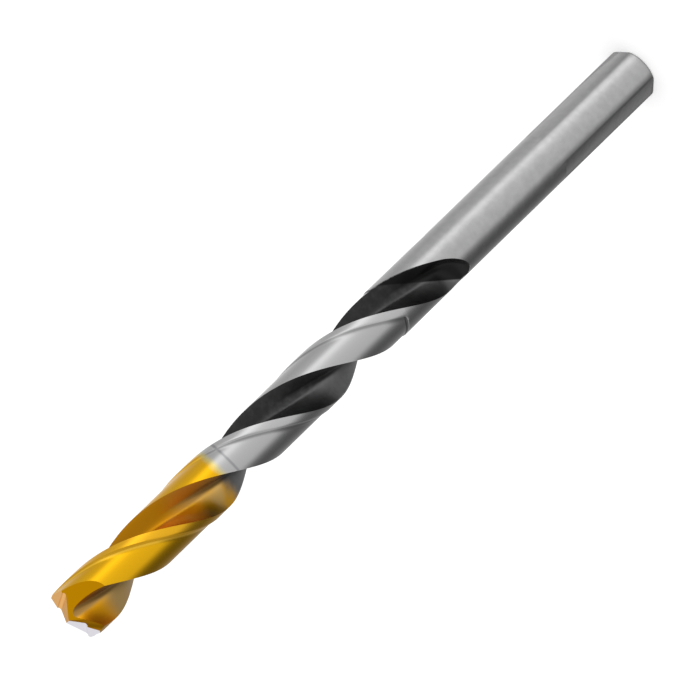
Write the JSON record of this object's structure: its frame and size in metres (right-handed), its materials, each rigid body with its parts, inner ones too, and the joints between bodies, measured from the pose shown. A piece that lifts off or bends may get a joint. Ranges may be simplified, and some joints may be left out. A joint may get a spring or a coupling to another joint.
{
  "type": "twist drill bit",
  "caption": "Jobber-length twist drill for metal with right-hand helical flutes, a split point and a round shank with drive flats.",
  "frame": {"origin": "centre of the flat end of the shank, on which the drill stands", "axes": "+Z along the drill from the shank to the point, X along the two cutting lips seen from above"},
  "size_m": [0.0066, 0.0064, 0.101],
  "materials": {
    "drill_steel": "ground bright steel, with blackened flutes and a gold-coloured coating on the point"
  },
  "bodies": {
    "root": {"drill_bit": "drill_steel"}
  },
  "joints": []
}
